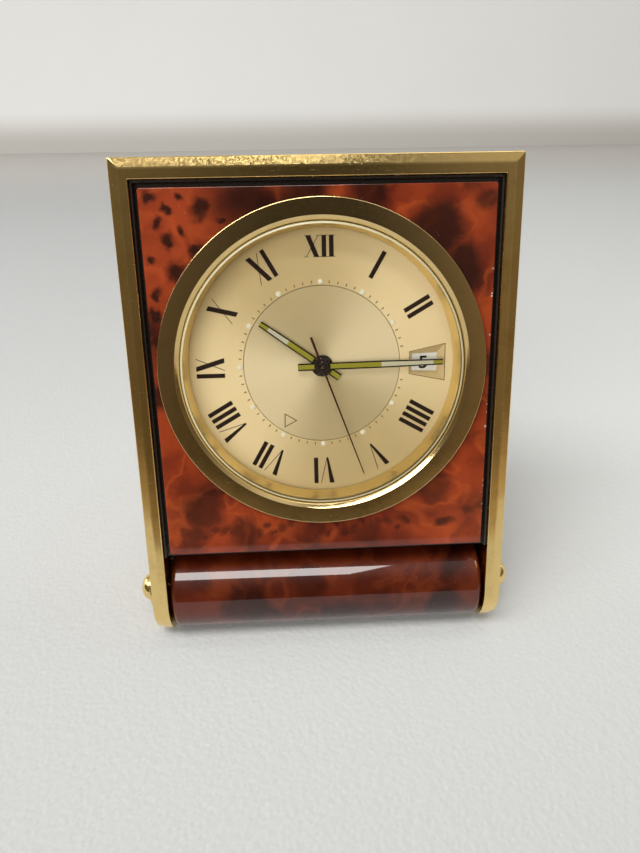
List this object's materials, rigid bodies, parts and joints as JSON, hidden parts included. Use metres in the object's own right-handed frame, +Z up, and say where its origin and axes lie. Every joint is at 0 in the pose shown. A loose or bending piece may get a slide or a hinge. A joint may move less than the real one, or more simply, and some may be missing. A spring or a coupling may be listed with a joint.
{
  "type": "travel alarm clock",
  "caption": "Folding travel alarm clock with a gold dial in a brass and lacquer case, leaning back on its opened cover.",
  "frame": {"origin": "bottom centre of the box of the clock as it stands open on a table; the table is Z = 0", "axes": "+Z up, the dial faces -Y and leans back, the opened cover reaches towards +Y, +X is to the right seen from the front"},
  "size_m": [0.0666, 0.0794, 0.078],
  "materials": {
    "brass": "polished, fine hairline wear",
    "brass_satin": "satin, grained",
    "lacquer": "high-gloss tortoiseshell lacquer",
    "black_case": "satin black",
    "dial_gold": "pale gold sunburst",
    "crystal": "clear",
    "date_white": "matt white, black numerals",
    "hand_black": "black with luminous fill",
    "steel": "brushed",
    "blued_steel": "blued",
    "bronze": "bare bronze",
    "leather": "fine grain"
  },
  "bodies": {
    "clock": {"case_frame": "brass", "front_panel": "lacquer", "case_body": "black_case", "back_plate": "brass_satin", "spine_roll": "lacquer", "pivot_screw_left": "brass", "pivot_screw_right": "brass", "back_screw_1": "brass", "back_screw_2": "brass", "back_screw_3": "brass", "back_screw_4": "brass", "bezel": "brass", "crystal": "crystal", "reflector_ring": "brass", "dial": "dial_gold", "date_frame": "brass", "main_plate": "brass_satin", "train_bridge": "brass_satin", "balance_cock": "brass_satin", "pallet_cock": "brass_satin", "movement_pillar_1": "brass_satin", "movement_pillar_2": "brass_satin", "movement_pillar_3": "brass_satin", "minute_post": "steel", "alarm_gong": "bronze"},
    "cover": {"cover_rim": "brass", "cover_panel": "lacquer", "cover_lining": "leather"},
    "minute_arbor": {"centre_wheel": "brass_satin", "cannon_pinion": "brass_satin", "minute_hand": "hand_black"},
    "hour_tube": {"hour_wheel": "brass_satin", "hour_hand": "hand_black"},
    "seconds_arbor": {"seconds_wheel": "brass_satin", "seconds_hand": "hand_black"},
    "third_arbor": {"third_wheel": "brass_satin"},
    "minute_work": {"minute_wheel": "brass_satin"},
    "time_barrel_body": {"time_barrel": "brass_satin"},
    "time_key": {"time_winding_key": "brass"},
    "time_setter": {"time_setting_knob": "brass"},
    "escape_arbor": {"escape_wheel": "steel"},
    "pallets": {"pallet_fork": "steel"},
    "balance": {"balance_wheel": "brass_satin", "hairspring": "blued_steel"},
    "regulator": {"regulator_lever": "steel"},
    "date_ring_body": {"date_ring": "date_white"},
    "alarm_setter": {"alarm_setting_knob": "brass"},
    "alarm_dial": {"alarm_disc": "dial_gold"},
    "alarm_barrel_body": {"alarm_barrel": "brass_satin"},
    "alarm_key": {"alarm_winding_key": "brass"},
    "hammer": {"alarm_hammer": "steel"},
    "stop_button": {"alarm_stop_button": "brass"}
  },
  "joints": [
    {"name": "cover_hinge", "type": "hinge", "parent": "clock", "child": "cover", "pos_m": [0, -0.03244, 0.00725], "axis": [1, 0, 0], "range_deg": [-272.3, 0]},
    {"name": "minute_spin", "type": "hinge", "parent": "clock", "child": "minute_arbor", "pos_m": [0, -0.02262, 0.04613], "axis": [0, 0.9696, -0.2447], "continuous": true},
    {"name": "hour_spin", "type": "hinge", "parent": "clock", "child": "hour_tube", "pos_m": [0, -0.02262, 0.04613], "axis": [0, 0.9696, -0.2447], "continuous": true},
    {"name": "seconds_spin", "type": "hinge", "parent": "clock", "child": "seconds_arbor", "pos_m": [0, -0.02262, 0.04613], "axis": [0, 0.9696, -0.2447], "continuous": true},
    {"name": "third_spin", "type": "hinge", "parent": "clock", "child": "third_arbor", "pos_m": [0, -0.02042, 0.05486], "axis": [0, 0.9696, -0.2447], "continuous": true},
    {"name": "minute_work_spin", "type": "hinge", "parent": "clock", "child": "minute_work", "pos_m": [-0.0052, -0.02189, 0.04904], "axis": [0, 0.9696, -0.2447], "continuous": true},
    {"name": "time_setting_spin", "type": "hinge", "parent": "clock", "child": "time_setter", "pos_m": [-0.01039, -0.02116, 0.05195], "axis": [0, 0.9696, -0.2447], "continuous": true},
    {"name": "time_barrel_spin", "type": "hinge", "parent": "clock", "child": "time_barrel_body", "pos_m": [-0.00758, -0.0237, 0.04189], "axis": [0, 0.9696, -0.2447], "continuous": true},
    {"name": "escape_spin", "type": "hinge", "parent": "clock", "child": "escape_arbor", "pos_m": [0.00832, -0.02188, 0.04907], "axis": [0, 0.9696, -0.2447], "continuous": true},
    {"name": "pallet_swing", "type": "hinge", "parent": "clock", "child": "pallets", "pos_m": [0.01234, -0.02152, 0.0505], "axis": [0, 0.9696, -0.2447], "range_deg": [-5, 5]},
    {"name": "balance_swing", "type": "hinge", "parent": "clock", "child": "balance", "pos_m": [0.015, -0.02128, 0.05146], "axis": [0, 0.9696, -0.2447], "range_deg": [-220, 220], "stiffness_Nm_per_rad": 0.000001},
    {"name": "regulator_turn", "type": "hinge", "parent": "clock", "child": "regulator", "pos_m": [0.015, -0.02128, 0.05146], "axis": [0, 0.9696, -0.2447], "range_deg": [-18, 18]},
    {"name": "time_key_turn", "type": "hinge", "parent": "clock", "child": "time_key", "pos_m": [-0.00758, -0.0237, 0.04189], "axis": [0, 0.9696, -0.2447], "continuous": true},
    {"name": "date_ring_spin", "type": "hinge", "parent": "clock", "child": "date_ring_body", "pos_m": [0, -0.02262, 0.04613], "axis": [0, 0.9696, -0.2447], "continuous": true},
    {"name": "alarm_setting_spin", "type": "hinge", "parent": "clock", "child": "alarm_setter", "pos_m": [0, -0.02505, 0.03653], "axis": [0, 0.9696, -0.2447], "continuous": true},
    {"name": "alarm_disc_spin", "type": "hinge", "parent": "clock", "child": "alarm_dial", "pos_m": [0, -0.02262, 0.04613], "axis": [0, 0.9696, -0.2447], "continuous": true},
    {"name": "alarm_barrel_spin", "type": "hinge", "parent": "clock", "child": "alarm_barrel_body", "pos_m": [0.0115, -0.02512, 0.03624], "axis": [0, 0.9696, -0.2447], "continuous": true},
    {"name": "alarm_key_turn", "type": "hinge", "parent": "clock", "child": "alarm_key", "pos_m": [0.0115, -0.02512, 0.03624], "axis": [0, 0.9696, -0.2447], "continuous": true},
    {"name": "hammer_swing", "type": "hinge", "parent": "clock", "child": "hammer", "pos_m": [0.0145, -0.02341, 0.04303], "axis": [0, 0.9696, -0.2447], "range_deg": [0, 18]},
    {"name": "stop_button_press", "type": "slide", "parent": "clock", "child": "stop_button", "axis": [0, -0.9696, 0.2447], "range_m": [0, 0.0008], "stiffness_N_per_m": 200, "springref_m": -0.0005}
  ],
  "couplings": [
    {"joint": "hour_spin", "follows": "minute_spin", "ratio": 0.083333},
    {"joint": "seconds_spin", "follows": "minute_spin", "ratio": 60},
    {"joint": "third_spin", "follows": "minute_spin", "ratio": -8},
    {"joint": "minute_work_spin", "follows": "minute_spin", "ratio": -0.33333},
    {"joint": "time_setting_spin", "follows": "minute_spin", "ratio": 1},
    {"joint": "time_barrel_spin", "follows": "minute_spin", "ratio": -0.16667},
    {"joint": "escape_spin", "follows": "minute_spin", "ratio": -600},
    {"joint": "alarm_disc_spin", "follows": "alarm_setting_spin", "ratio": -0.22222}
  ]
}
